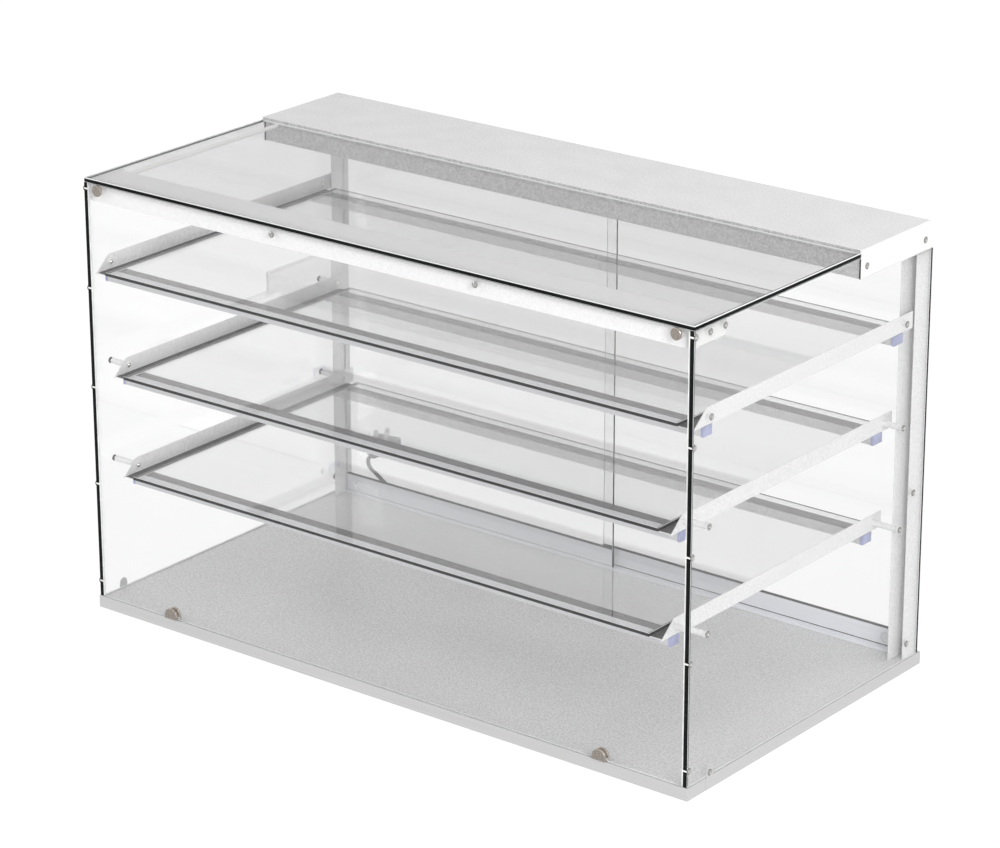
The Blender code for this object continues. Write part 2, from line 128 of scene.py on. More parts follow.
# Doors
DISH_R = 0.0070
GASKET_LIP = (0.00205, 0.0031)
GASKET_H = 0.0024
# Lines on each door rail: a dark line low down that is a painted shadow, and a light painted highlight
# line over it.
SHADOW_LINE_Z = (0.0268, 0.0284)
HIGHLIGHT_LINE_Z = (0.0286, 0.0294)

# Mains lead: the same route as its solids
CORD_D = 0.007
CORD_STEP = 0.006
CURVE_STEPS = 20
FOLD_STEPS = 8
CORD_EXIT = (0.4500, 0.3472, 0.0105)
HANK_X = (0.250, 0.390)
HANK_Y = (0.3290, 0.3710)
HANK_Z = (0.0037, 0.0105)
HANK_BACK_X = (0.345, 0.300)
HANK_FRONT_X = (0.297, 0.343)
LEAD_ROUTE = (
    CORD_EXIT,
    (0.4498, 0.3515, 0.0105),
    (0.4468, 0.3612, 0.0100),
    (0.4395, 0.3682, 0.0078),
    (0.4290, 0.3710, 0.0054),
    (0.4100, 0.3710, 0.0037),
)
RUN_ROUTE = (
    (0.2300, 0.3710, 0.0105),
    (0.2150, 0.3702, 0.0090),
    (0.1850, 0.3670, 0.0048),
    (0.1500, 0.3610, 0.0037),
    (0.0600, 0.3480, 0.0037),
    (-0.0600, 0.3520, 0.0037),
    (-0.1800, 0.3560, 0.0037),
    (-0.3000, 0.3490, 0.0037),
    (-0.4000, 0.3440, 0.0037),
    (-0.4750, 0.3500, 0.0037),
    (-0.5300, 0.3700, 0.0037),
    (-0.5805, 0.4000, 0.0037),
    (-0.6200, 0.4240, 0.0037),
    (-0.6480, 0.4405, 0.0042),
    (-0.6650, 0.4560, 0.0070),
    (-0.6727, 0.4680, 0.0093),
    (-0.6753, 0.4745, 0.0095),
    (-0.6760, 0.4800, 0.0095),
)
PLUG_HEADING = (-0.12, 0.99, 0.0)
PIN_FOOT_Z = 0.0242
TIE_HALF_W = 0.0075


# --- Materials -----------------------------------------------------------------


class Shader:
    """A Principled material with object-space noise to hang its variation on."""

    def __init__(self, name, colour, roughness, metallic=0.0):
        self.material = bpy.data.materials.new(name)
        self.material.use_nodes = True
        self.tree = self.material.node_tree
        self.base = self.tree.nodes["Principled BSDF"]
        self.colour = colour
        self.roughness = roughness
        self.set("Base Color", (*colour, 1.0))
        self.set("Roughness", roughness)
        self.set("Metallic", metallic)
        self.coords = self.add("ShaderNodeTexCoord")

    def add(self, kind, **values):
        node = self.tree.nodes.new(kind)
        for key, value in values.items():
            setattr(node, key, value)
        return node

    def link(self, source, target):
        self.tree.links.new(source, target)

    def set(self, socket, value):
        self.base.inputs[socket].default_value = value

    def noise(self, scale, stretch=(1.0, 1.0, 1.0), detail=3.0):
        mapping = self.add("ShaderNodeMapping")
        mapping.inputs["Scale"].default_value = stretch
        self.link(self.coords.outputs["Object"], mapping.inputs["Vector"])
        texture = self.add("ShaderNodeTexNoise")
        texture.inputs["Scale"].default_value = scale
        texture.inputs["Detail"].default_value = detail
        self.link(mapping.outputs["Vector"], texture.inputs["Vector"])
        return texture.outputs["Fac"]

    def ramp(self, factor, low, high, start=0.35, end=0.65):
        """A number that goes from low to high as the factor goes from start to end."""
        node = self.add("ShaderNodeMapRange")
        node.inputs["From Min"].default_value = start
        node.inputs["From Max"].default_value = end
        node.inputs["To Min"].default_value = low
        node.inputs["To Max"].default_value = high
        self.link(factor, node.inputs["Value"])
        return node.outputs["Result"]

    def blend(self, factor, first, second):
        """A colour between two, each a triple or another node's colour."""
        node = self.add("ShaderNodeMix", data_type="RGBA")
        self.link(factor, node.inputs["Factor"])
        for value, socket in ((first, node.inputs[6]), (second, node.inputs[7])):
            if isinstance(value, tuple):
                socket.default_value = (*value, 1.0)
            else:
                self.link(value, socket)
        return node.outputs[2]

    def vary_colour(self, factor, spread):
        """Colour that swings around the base colour by the given share."""
        dark = tuple(c * (1 - spread) for c in self.colour)
        light = tuple(min(1.0, c * (1 + spread)) for c in self.colour)
        shade = self.blend(self.ramp(factor, 0.0, 1.0), dark, light)
        self.link(shade, self.base.inputs["Base Color"])
        return shade

    def speckle(self, spread):
        """Fine grain of a textured coat: a mottled colour and a slight relief."""
        grain = self.noise(330.0, detail=4.0)
        self.vary_colour(grain, spread)
        self.bump(grain, 0.00010, 0.4)

    def vary_roughness(self, factor, spread):
        value = self.ramp(factor, self.roughness - spread, self.roughness + spread)
        self.link(value, self.base.inputs["Roughness"])

    def bump(self, factor, distance, strength=0.6):
        node = self.add("ShaderNodeBump")
        node.inputs["Distance"].default_value = distance
        node.inputs["Strength"].default_value = strength
        self.link(factor, node.inputs["Height"])
        self.link(node.outputs["Normal"], self.base.inputs["Normal"])


def clear_glass(name, tint, depth):
    """Float glass with a faint uneven tint. Lamps shine through it almost undimmed."""
    shader = Shader(name, tint, 0.0)
    shader.set("Transmission Weight", 1.0)
    shader.set("IOR", 1.5)
    shader.vary_colour(shader.noise(3.0, detail=1.0), depth)
    path = shader.add("ShaderNodeLightPath")
    through = shader.add("ShaderNodeBsdfTransparent")
    through.inputs["Color"].default_value = LAMPLIGHT_TINT
    mix = shader.add("ShaderNodeMixShader")
    lamps = shader.add("ShaderNodeMath", operation="MAXIMUM")
    shader.link(path.outputs["Is Shadow Ray"], lamps.inputs[0])
    shader.link(path.outputs["Is Diffuse Ray"], lamps.inputs[1])
    shader.link(lamps.outputs[0], mix.inputs[0])
    shader.link(shader.base.outputs[0], mix.inputs[1])
    shader.link(through.outputs[0], mix.inputs[2])
    shader.link(mix.outputs[0], shader.tree.nodes["Material Output"].inputs["Surface"])
    return shader.material


def glass_edge():
    """Polished pane edge, glossy, with fine grinding lines, painted near-black as painted shade for the
    dark that such an edge mirrors.
    """
    shader = Shader("glass_edge", (0.010, 0.011, 0.011), 0.2)
    shader.set("Specular IOR Level", 0.15)
    lines = shader.noise(240.0, (0.05, 0.05, 1.0))
    shader.vary_colour(lines, 0.35)
    shader.vary_roughness(lines, 0.08)
    return shader.material


def glass_arris_and_painted_light():
    """Ground arris: frosted and light. The same light colour is painted on some pane edges as a painted
    highlight.
    """
    shader = Shader("glass_arris_and_painted_light", (0.80, 0.81, 0.81), 0.4)
    grain = shader.noise(900.0)
    shader.vary_colour(grain, 0.08)
    shader.vary_roughness(grain, 0.1)
    return shader.material


def brushed_base():
    """Brushed stainless sheet, the grain along the width."""
    shader = Shader("brushed_stainless", (0.58, 0.58, 0.58), 0.42, 0.05)
    grain = shader.noise(60.0, (0.06, 8.0, 14.0), 4.0)
    shader.vary_colour(grain, 0.05)
    shader.vary_roughness(grain, 0.07)
    shader.bump(grain, 0.00004, 0.5)
    return shader.material


def textured_pan():
    """Floor of the case: fine-textured sheet, a little glossy."""
    shader = Shader("textured_pan", (0.63, 0.63, 0.63), 0.34)
    shader.speckle(0.20)
    shader.vary_roughness(shader.noise(7.0), 0.06)
    return shader.material


def folded_sheet(name, grey, spread):
    """Fine-textured powder coat."""
    shader = Shader(name, (grey, grey, grey), 0.42)
    shader.speckle(spread)
    shader.vary_roughness(shader.noise(25.0), 0.06)
    return shader.material


def white_paint():
    """White satin paint with a slight orange peel."""
    shader = Shader("white_paint", (0.86, 0.86, 0.85), 0.42)
    peel = shader.noise(420.0)
    shader.vary_colour(shader.noise(18.0), 0.02)
    shader.vary_roughness(peel, 0.06)
    shader.bump(peel, 0.00005, 0.4)
    return shader.material


def anodised():
    """Anodised aluminium extrusion with a faint lavender cast."""
    shader = Shader("anodised_aluminium", (0.84, 0.85, 0.89), 0.34, 0.05)
    grain = shader.noise(80.0, (0.04, 10.0, 10.0), 3.0)
    shader.vary_colour(grain, 0.04)
    shader.vary_roughness(grain, 0.06)
    shader.bump(grain, 0.00003, 0.4)
    return shader.material


def rolled_rail():
    """Satin grey of the shelves' front rails."""
    shader = Shader("rolled_rail", (0.60, 0.60, 0.62), 0.38)
    shader.speckle(0.08)
    shader.vary_roughness(shader.noise(60.0), 0.06)
    return shader.material


def satin_nickel():
    """Warm satin plating of the glass clips and corner caps."""
    shader = Shader("satin_nickel", (0.50, 0.45, 0.40), 0.30, 0.6)
    grain = shader.noise(300.0, (1.0, 1.0, 6.0))
    shader.vary_colour(grain, 0.08)
    shader.vary_roughness(grain, 0.08)
    return shader.material


def screw_steel():
    """Bright steel of the screws, nuts, finger pull rims and plug pins."""
    shader = Shader("screw_steel", (0.82, 0.81, 0.79), 0.24, 0.75)
    grain = shader.noise(700.0)
    shader.vary_colour(grain, 0.06)
    shader.vary_roughness(grain, 0.08)
    return shader.material


def washer_rubber():
    """Dark rubber of washers and gaskets."""
    shader = Shader("washer_rubber", (0.10, 0.10, 0.10), 0.6)
    grain = shader.noise(900.0)
    shader.vary_colour(grain, 0.2)
    shader.vary_roughness(grain, 0.1)
    return shader.material


def grey_and_painted_shade():
    """Darker speckled grey: painted shade on the header's front flange and on the left door rail's low
    line, and the darker grey of the rear rails.
    """
    shader = Shader("grey_and_painted_shade", (0.50, 0.50, 0.50), 0.5)
    shader.speckle(0.22)
    shader.vary_roughness(shader.noise(40.0), 0.08)
    return shader.material


def painted_shade_dark():
    """Near-black speckled grey of painted shade: on the shelf rails' tops and the ledge strips under
    the shelf glass, and on the door rails' dark lines.
    """
    shader = Shader("painted_shade_dark", (0.07, 0.07, 0.07), 0.6)
    shader.speckle(0.25)
    shader.vary_roughness(shader.noise(90.0), 0.1)
    return shader.material


def frosted_diffuser():
    """Opal cover of the light."""
    shader = Shader("frosted_diffuser", (0.92, 0.92, 0.91), 0.55)
    grain = shader.noise(1100.0)
    shader.vary_colour(shader.noise(9.0), 0.02)
    shader.bump(grain, 0.00005, 0.5)
    return shader.material


def led_board():
    """White strip with a yellow chip at every step along it."""
    shader = Shader("led_board", (0.86, 0.86, 0.82), 0.45)
    wave = shader.add("ShaderNodeTexWave", wave_type="BANDS", bands_direction="X")
    wave.inputs["Scale"].default_value = 19.0
    shader.link(shader.coords.outputs["Object"], wave.inputs["Vector"])
    chips = shader.ramp(wave.outputs["Fac"], 0.0, 1.0, 0.80, 0.86)
    shade = shader.blend(chips, (0.86, 0.86, 0.82), (0.80, 0.66, 0.22))
    shader.link(shade, shader.base.inputs["Base Color"])
    return shader.material


def moulded_plastic(name, colour, roughness):
    """Moulded plastic with a fine spark-eroded grain."""
    shader = Shader(name, colour, roughness)
    grain = shader.noise(1600.0)
    shader.vary_colour(shader.noise(60.0), 0.15)
    shader.vary_roughness(grain, 0.08)
    shader.bump(grain, 0.00004, 0.5)
    return shader.material


def sealed_board():
    """Plywood grain under a clear finish."""
    shader = Shader("sealed_board", (0.42, 0.33, 0.23), 0.55)
    grain = shader.noise(14.0, (0.25, 5.0, 5.0), 6.0)
    shader.vary_colour(grain, 0.22)
    shader.vary_roughness(grain, 0.1)
    shader.bump(grain, 0.0001, 0.4)
    return shader.material


def tie_fabric():
    """Hook-and-loop strap."""
    shader = Shader("tie_fabric", (0.05, 0.05, 0.055), 0.85)
    weave = shader.noise(1500.0, (1.0, 0.4, 0.4))
    shader.vary_colour(weave, 0.4)
    shader.vary_roughness(weave, 0.08)
    shader.bump(weave, 0.0002, 0.7)
    shader.set("Sheen Weight", 0.3)
    return shader.material


def make_looks():
    """Every material, by the short name that the builders below use."""
    return {
        "case_glass": clear_glass("case_glass", CLEAR_TINT, 0.003),
        "top_glass": clear_glass("top_glass", TOP_TINT_AND_SHADE, 0.006),
        "shelf_glass": clear_glass("shelf_glass", SHELF_TINT_AND_SHADE, 0.006),
        "door_glass": clear_glass("door_glass", CLEAR_TINT, 0.003),
        "edge": glass_edge(),
        "arris": glass_arris_and_painted_light(),
        "brushed": brushed_base(),
        "pan": textured_pan(),
        "sheet": folded_sheet("powder_coat_grey", 0.78, 0.10),
        "beam": folded_sheet("powder_coat_white", 0.90, 0.05),
        "white": white_paint(),
        "anodised": anodised(),
        "rail": rolled_rail(),
        "nickel": satin_nickel(),
        "screw": screw_steel(),
        "washer": washer_rubber(),
        "grey_and_painted_shade": grey_and_painted_shade(),
        "shade_dark": painted_shade_dark(),
        "cap": moulded_plastic("end_cap", (0.36, 0.38, 0.56), 0.45),
        # Light plastic of the corner beads, also used for painted highlights at the edge screws and on
        # the door rails.
        "light_plastic_and_highlight": moulded_plastic("light_plastic_and_painted_highlight", (0.86, 0.86, 0.85), 0.4),
        "diffuser": frosted_diffuser(),
        "led": led_board(),
        "dark": moulded_plastic("dark_plastic", (0.055, 0.055, 0.06), 0.5),
        "cord": moulded_plastic("cord_jacket", (0.085, 0.085, 0.09), 0.42),
        "board": sealed_board(),
        "tie": tie_fabric(),
    }


# --- Shape helpers --------------------------------------------------------------


def add_piece(name, shape, materials, body, smooth=35):
    """Turns a bmesh into a piece that rides on a body, with the given materials."""
    mesh = bpy.data.meshes.new(name)
    shape.to_mesh(mesh)
    shape.free()
    for material in materials:
        mesh.materials.append(material)
    piece = bpy.data.objects.new(name, mesh)
    bpy.context.scene.collection.objects.link(piece)
    if smooth:
        mesh.shade_smooth()
        mesh.set_sharp_from_angle(angle=math.radians(smooth))
    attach(piece, body)
    return piece


def cad_shape(node):
    """A CAD node's mesh with its flat faces whole again."""
    shape = bmesh.new()
    shape.from_mesh(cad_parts[node].data)
    bmesh.ops.remove_doubles(shape, verts=shape.verts[:], dist=1e-6)
    flat = math.radians(1)
    bmesh.ops.dissolve_limit(shape, angle_limit=flat, verts=shape.verts[:], edges=shape.edges[:])
    return shape


def bevel_sharp(shape, radius, segments, least=50):
    """Rounds the edges where two faces meet at more than the least angle, in degrees."""
    sharp = [
        edge
        for edge in shape.edges
        if len(edge.link_faces) == 2 and edge.calc_face_angle() > math.radians(least)
    ]
    bmesh.ops.bevel(
        shape,
        geom=sharp,
        offset=radius,
        offset_type="OFFSET",
        segments=segments,
        profile=0.5,
        affect="EDGES",
        clamp_overlap=True,
    )


def looks_along(face, way):
    """Whether a face looks close to a way."""
    return face.normal.dot(Vector(way)) > 0.9


def refine(node, radius, material, body="root", other=None, facing=UP):
    """Replaces a CAD node by the same shape with its edges rounded.

    Faces that look one way can take another material.
    """
    shape = cad_shape(node)
    bevel_sharp(shape, radius, 2)
    if other:
        for face in shape.faces:
            face.material_index = 1 if looks_along(face, facing) else 0
    materials = [material, other] if other else [material]
    piece = add_piece(f"{node}_shown", shape, materials, body)
    weighted = piece.modifiers.new("weighted", "WEIGHTED_NORMAL")
    weighted.keep_sharp = True
    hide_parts(node)


def paint(node, material):
    """Gives a CAD node that stays in view its material."""
    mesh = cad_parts[node].data
    mesh.materials.clear()
    mesh.materials.append(material)


def pane(node, across, looks, clear, body="root", bright=(), arris=ARRIS):
    """A glass pane: clear faces across one axis, polished edges painted dark as shade, and ground
    arrises.

    Edges that look along one of the bright directions take the arris's light colour too, a painted
    highlight.
    """
    shape = cad_shape(node)
    bevel_sharp(shape, arris, 1, 60)
    for face in shape.faces:
        facing = abs(face.normal[across])
        face.material_index = 0 if facing > 0.95 else 1 if facing < 0.1 else 2
        if any(looks_along(face, way) for way in bright):
            face.material_index = 2
    materials = [looks[clear], looks["edge"], looks["arris"]]
    piece = add_piece(f"{node}_shown", shape, materials, body, smooth=0)
    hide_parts(node)


def turn(rings, place, heading, sides=24):
    """A solid of revolution. Each ring is a distance along the heading and a radius."""
    tilt = Vector(UP).rotation_difference(Vector(heading).normalized()).to_matrix()
    shape = bmesh.new()
    loops = []
    for along, radius in rings:
        corners = []
        for i in range(sides):
            angle = 2 * math.pi * i / sides
            flat = Vector((radius * math.cos(angle), radius * math.sin(angle), along))
            corners.append(shape.verts.new(Vector(place) + tilt @ flat))
        loops.append(corners)
    for lower, upper in zip(loops, loops[1:]):
        for i in range(sides):
            j = (i + 1) % sides
            shape.faces.new((lower[i], lower[j], upper[j], upper[i]))
    shape.faces.new(loops[0][::-1])
    shape.faces.new(loops[-1])
    return shape


def block(low, high, rounding):
    """A box between two corners, with its edges rounded."""
    shape = bmesh.new()
    bmesh.ops.create_cube(shape, size=1.0)
    low, size = Vector(low), Vector(high) - Vector(low)
    for vert in shape.verts:
        vert.co = low + Vector([size[i] * (vert.co[i] + 0.5) for i in range(3)])
    bevel_sharp(shape, rounding, 2)
    return shape


def merge(target, other, index):
    """Adds one bmesh to another, with a material index for the added faces."""
    copies = {vert: target.verts.new(vert.co) for vert in other.verts}
    for face in other.faces:
        added = target.faces.new([copies[vert] for vert in face.verts])
        added.material_index = index
    other.free()


# --- Camera, light and stage ----------------------------------------------------


def make_camera():
    """Looks at the case from its front right, everything in focus."""
    forward = Vector(CAMERA_FORWARD).normalized()
    right = Vector(CAMERA_RIGHT)
    right = (right - forward * right.dot(forward)).normalized()
    up = right.cross(forward)
    data = bpy.data.cameras.new("camera")
    data.lens = LENS
    data.sensor_width = 36.0
    data.clip_end = 60.0
    camera = bpy.data.objects.new("camera", data)
    turn_matrix = Matrix((right, up, -forward)).transposed().to_4x4()
    camera.matrix_world = Matrix.Translation(CAMERA_PLACE) @ turn_matrix
    bpy.context.scene.collection.objects.link(camera)
    bpy.context.scene.camera = camera


def area_light(name, place, target, size, power):
    """A rectangular softbox that points at the target."""
    data = bpy.data.lights.new(name, "AREA")
    data.shape = "RECTANGLE"
    data.size, data.size_y = size
    data.energy = power
    light = bpy.data.objects.new(name, data)
    light.location = place
    aim = Vector(target) - Vector(place)
    light.rotation_euler = aim.to_track_quat("-Z", "Y").to_euler()
    bpy.context.scene.collection.objects.link(light)


def mirrored(tree):
    """One for rays that left a mirror-like surface, nought for those seen straight or through glass."""
    path = tree.nodes.new("ShaderNodeLightPath")
    only = tree.nodes.new("ShaderNodeMath")
    only.operation = "SUBTRACT"
    only.use_clamp = True
    tree.links.new(path.outputs["Is Glossy Ray"], only.inputs[0])
    tree.links.new(path.outputs["Is Transmission Ray"], only.inputs[1])
    return only.outputs[0]


def mix_numbers(tree, factor, first, second):
    """A number between two, each a plain value or another node's output."""
    node = tree.nodes.new("ShaderNodeMix")
    tree.links.new(factor, node.inputs[0])
    for value, socket in ((first, node.inputs[2]), (second, node.inputs[3])):
        if isinstance(value, float):
            socket.default_value = value
        else:
            tree.links.new(value, socket)
    return node.outputs[0]


def make_world():
    """White backdrop and even fill, with a dim horizon and bright ceiling in reflections."""
    world = bpy.data.worlds.new("studio")
    world.use_nodes = True
    tree = world.node_tree
    path = tree.nodes.new("ShaderNodeLightPath")
    plain = mix_numbers(tree, path.outputs["Is Diffuse Ray"], BACKDROP, WORLD_FILL)
    coords = tree.nodes.new("ShaderNodeTexCoord")
    split = tree.nodes.new("ShaderNodeSeparateXYZ")
    tree.links.new(coords.outputs["Generated"], split.inputs[0])
    ceiling = tree.nodes.new("ShaderNodeMapRange")
    ceiling.inputs["From Min"].default_value = 0.45
    ceiling.inputs["From Max"].default_value = 0.85
    ceiling.inputs["To Min"].default_value = HORIZON_MIRRORED
    ceiling.inputs["To Max"].default_value = CEILING_MIRRORED
    tree.links.new(split.outputs["Z"], ceiling.inputs["Value"])
    strength = mix_numbers(tree, mirrored(tree), plain, ceiling.outputs[0])
    background = tree.nodes["Background"]
    background.inputs["Color"].default_value = (1.0, 1.0, 1.0, 1.0)
    tree.links.new(strength, background.inputs["Strength"])
    bpy.context.scene.world = world


def floor_material():
    """White sweep that stays dim where glass and metal mirror it."""
    floor = Shader("studio_floor", (0.08, 0.08, 0.08), 0.8)
    floor.set("Emission Color", (1.0, 1.0, 1.0, 1.0))
    glow = mix_numbers(floor.tree, mirrored(floor.tree), FLOOR_GLOW, FLOOR_MIRRORED)
    floor.link(glow, floor.base.inputs["Emission Strength"])
    return floor.material


def make_lights():
    """A large key from the front right, a weak fill from the left, and one from above."""
    area_light("softbox_key", (5.2, -3.9, 3.2), CASE_MIDDLE, (3.0, 3.0), 235.0)
    area_light("softbox_left", (-4.4, -2.6, 2.6), CASE_MIDDLE, (2.4, 2.4), 60.0)
    area_light("softbox_top", (1.6, 0.9, 3.6), (0.2, 0.1, 0.5), (2.4, 2.4), 34.0)


def make_floor():
    """A wide pale floor, a hair below the case."""
    shape = bmesh.new()
    bmesh.ops.create_grid(shape, x_segments=4, y_segments=4, size=30.0)
    mesh = bpy.data.meshes.new("studio_floor")
    shape.to_mesh(mesh)
    shape.free()
    mesh.materials.append(floor_material())
    stage = bpy.data.objects.new("studio_floor", mesh)
    stage.location.z = -0.0005
    bpy.context.scene.collection.objects.link(stage)


def make_stage():
    """Plain colour handling, backdrop, lamps and floor."""
    bpy.context.scene.view_settings.view_transform = "Standard"
    make_world()
    make_lights()
    make_floor()


# --- Mains lead -----------------------------------------------------------------


def smooth_route(points, spacing):
    """Evenly spaced points on a smooth curve through the given ones."""
    given = [Vector(p) for p in points]
    padded = [2 * given[0] - given[1], *given, 2 * given[-1] - given[-2]]
    fine = []
    for a, b, c, d in zip(padded, padded[1:], padded[2:], padded[3:]):
        for i in range(CURVE_STEPS):
            t = i / CURVE_STEPS
            cubic = 2 * b + (c - a) * t + (2 * a - 5 * b + 4 * c - d) * t * t
            cubic += (3 * b - a - 3 * c + d) * t * t * t
            fine.append(cubic / 2)
    fine.append(given[-1])
    lengths = [0.0]
    for a, b in zip(fine, fine[1:]):
        lengths.append(lengths[-1] + (b - a).length)
    count = round(lengths[-1] / spacing)
    route = []
    for i in range(count + 1):
        wanted = lengths[-1] * i / count
        k = next(n for n in range(1, len(fine)) if lengths[n] >= wanted - 1e-9)
        share = (wanted - lengths[k - 1]) / (lengths[k] - lengths[k - 1])
        route.append(fine[k - 1].lerp(fine[k], share))
    return route


def fold(centre_x, start, end, low, high):
    """Half a turn of the hank round one of its ends, climbing from low to high."""
    middle = sum(HANK_Y) / 2
    radius = (HANK_Y[1] - HANK_Y[0]) / 2
    points = []
    for i in range(1, FOLD_STEPS + 1):
        share = i / FOLD_STEPS
        angle = math.radians(start + (end - start) * share)
        x = centre_x + radius * math.cos(angle)
        y = middle + radius * math.sin(angle)
        points.append((x, y, low + (high - low) * share))
    return points


def hank_route():
    """One and a half turns: along the back, round, along the front, round and over the back."""
    left, right = HANK_X
    near, far = HANK_Y
    low, high = HANK_Z
    points = [(x, far, low) for x in (right, *HANK_BACK_X, left)]
    points += fold(left, 90, 270, low, low)
    points += [(x, near, low) for x in (*HANK_FRONT_X, right)]
    points += fold(right, -90, 90, low, high)
    points += [(x, far, high) for x in (*HANK_BACK_X, left)]
    return points


def build_cord(looks):
    """The whole lead as one round cable, and its length."""
    route = smooth_route([*LEAD_ROUTE, *hank_route(), *RUN_ROUTE], CORD_STEP)
    curve = bpy.data.curves.new("mains_lead", "CURVE")
    curve.dimensions = "3D"
    curve.bevel_depth = CORD_D / 2
    curve.bevel_resolution = 5
    curve.use_fill_caps = True
    spline = curve.splines.new("POLY")
    spline.points.add(len(route) - 1)
    for point, place in zip(spline.points, route):
        point.co = (*place, 1.0)
    spline.use_smooth = True
    curve.materials.append(looks["cord"])
    lead = bpy.data.objects.new("mains_lead", curve)
    bpy.context.scene.collection.objects.link(lead)
    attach(lead, "root")
    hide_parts("cord_lead", "cord_hank", "cord_run")
    length = sum((b - a).length for a, b in zip(route, route[1:]))
    return lead, length


def build_plug(looks):
    """Moulded plug with rounded edges and metal pins."""
    shape = cad_shape("plug")
    bevel_sharp(shape, 0.0007, 2, 40)
    for face in shape.faces:
        face.material_index = 1 if face.calc_center_median().z > PIN_FOOT_Z else 0
    plug = add_piece("plug_shown", shape, [looks["dark"], looks["screw"]], "root")
    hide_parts("plug")
    return plug


def build_collar(looks):
    """Four ribs round the neck of the plug, where the lead goes in."""
    heading = Vector(PLUG_HEADING).normalized()
    start = Vector(RUN_ROUTE[-1]) + heading * 0.001
    ribs = bmesh.new()
    for step in range(4):
        along = 0.0030 + 0.0036 * step
        radius = 0.0086 + 0.0001 * step
        rings = ((along, radius - 0.0006), (along + 0.0004, radius))
        rings += ((along + 0.0014, radius), (along + 0.0018, radius - 0.0006))
        merge(ribs, turn(rings, start, heading), 0)
    return add_piece("plug_collar_ribs", ribs, [looks["dark"]], "root")


def build_gland(looks):
    """Tapered strain relief with ribs that let it bend."""
    low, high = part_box("cord_gland")
    place = Vector(((low.x + high.x) / 2, low.y, (low.z + high.z) / 2))
    rings = [(0.0, 0.0072), (0.0006, 0.0078), (0.0038, 0.0078), (0.0046, 0.0064)]
    for step in range(5):
        along = 0.0056 + 0.0040 * step
        radius = 0.0063 - 0.00036 * step
        rings += [(along, radius - 0.0010), (along + 0.0008, radius - 0.0010)]
        rings += [(along + 0.0011, radius), (along + 0.0029, radius)]
    rings.append((high.y - low.y, 0.0043))
    shape = turn(rings, place, (0, 1, 0))
    gland = add_piece("cord_gland_shown", shape, [looks["dark"]], "root")
    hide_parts("cord_gland")
    return gland


def rounded_loop(left, right, bottom, top, radius):
    """Corners of a rounded rectangle, anticlockwise."""
    centres = (
        (right - radius, top - radius, 0),
        (left + radius, top - radius, 90),
        (left + radius, bottom + radius, 180),
        (right - radius, bottom + radius, 270),
    )
    points = []
    for y, z, start in centres:
        for i in range(7):
            angle = math.radians(start + 15 * i)
            points.append((y + radius * math.cos(angle), z + radius * math.sin(angle)))
    return points


def build_tie(looks):
    """Hook-and-loop strap round the hank."""
    middle = (HANK_X[0] + HANK_X[1]) / 2
    low, high = HANK_Y[0] - CORD_D / 2, HANK_Y[1] + CORD_D / 2
    top = HANK_Z[1] + CORD_D / 2
    section = rounded_loop(low - 0.0010, high + 0.0010, 0.0000, top + 0.0011, 0.0038)
    inner = rounded_loop(low - 0.0002, high + 0.0002, 0.0001, top + 0.0002, 0.0032)
    shape = bmesh.new()
    rings = []
    for x in (middle - TIE_HALF_W, middle + TIE_HALF_W):
        rings.append([shape.verts.new((x, y, z)) for y, z in section])
        rings.append([shape.verts.new((x, y, z)) for y, z in inner])
    count = len(section)
    for i in range(count):
        j = (i + 1) % count
        shape.faces.new((rings[0][i], rings[2][i], rings[2][j], rings[0][j]))
        shape.faces.new((rings[1][j], rings[3][j], rings[3][i], rings[1][i]))
        shape.faces.new((rings[0][j], rings[1][j], rings[1][i], rings[0][i]))
        shape.faces.new((rings[2][i], rings[3][i], rings[3][j], rings[2][j]))
    bmesh.ops.recalc_face_normals(shape, faces=shape.faces[:])
    return add_piece("hank_tie", shape, [looks["tie"]], "root")


def build_lead(looks):
    lead, length = build_cord(looks)
    gland = build_gland(looks)
    tie = build_tie(looks)
    pieces = [build_plug(looks), build_collar(looks), gland, tie]


# --- Screws ---------------------------------------------------------------------


def screw_shape(place, heading, shank):
    """Button-head screw with a socket in the head and a shank behind it."""
    rings = ((-shank, SHANK_R), (0.0, SHANK_R), (0.0, HEAD_R * 0.96), (0.0003, HEAD_R))
    rings += ((0.0007, HEAD_R * 0.92), (0.0010, HEAD_R * 0.80), (0.0013, HEAD_R * 0.62))
    rings += ((HEAD_H, HEAD_R * 0.40), (HEAD_H, SOCKET_R), (HEAD_H - 0.0008, SOCKET_R))
    return turn(rings, place, heading)


def ring_shape(place, heading):
    """Rubber ring under a screw's head."""
    rings = ((0.0, RING_R), (0.0004, RING_R), (0.0006, RING_R - 0.0003), (0.0006, HEAD_R - 0.0004))
    return turn(rings, place, heading)


def screws(name, places, heading, shank, looks):
    """A set of screws that share a direction, each with its ring."""
    shape = bmesh.new()
    for place in places:
        lift = Vector(place) + Vector(heading).normalized() * HEAD_LIFT
        merge(shape, screw_shape(lift, heading, shank), 0)
        merge(shape, ring_shape(Vector(place), heading), 1)
    bmesh.ops.recalc_face_normals(shape, faces=shape.faces[:])
    add_piece(name, shape, [looks["screw"], looks["washer"]], "root")


def edge_screw_places(side):
    """Where screws go through a side glass into the edge of the front glass."""
    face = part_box(f"side_glass_{side}")
    outside = face[1].x if side == "right" else face[0].x
    front = face[0].y + EDGE_SCREW_INSET
    return [(outside, front, z) for z in EDGE_SCREW_Z]


def side_screw_places(side):
    """The other screws in a side glass: beam ends, post and the brackets' standoffs."""
    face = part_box(f"side_glass_{side}")
    outside = face[1].x if side == "right" else face[0].x
    places = [(outside, *spot) for spot in BEAM_SCREWS + POST_SCREWS]
    for number in (1, 2, 3):
        places += [(outside, y, flange_middle(number)) for y in STANDOFF_Y]
    return places


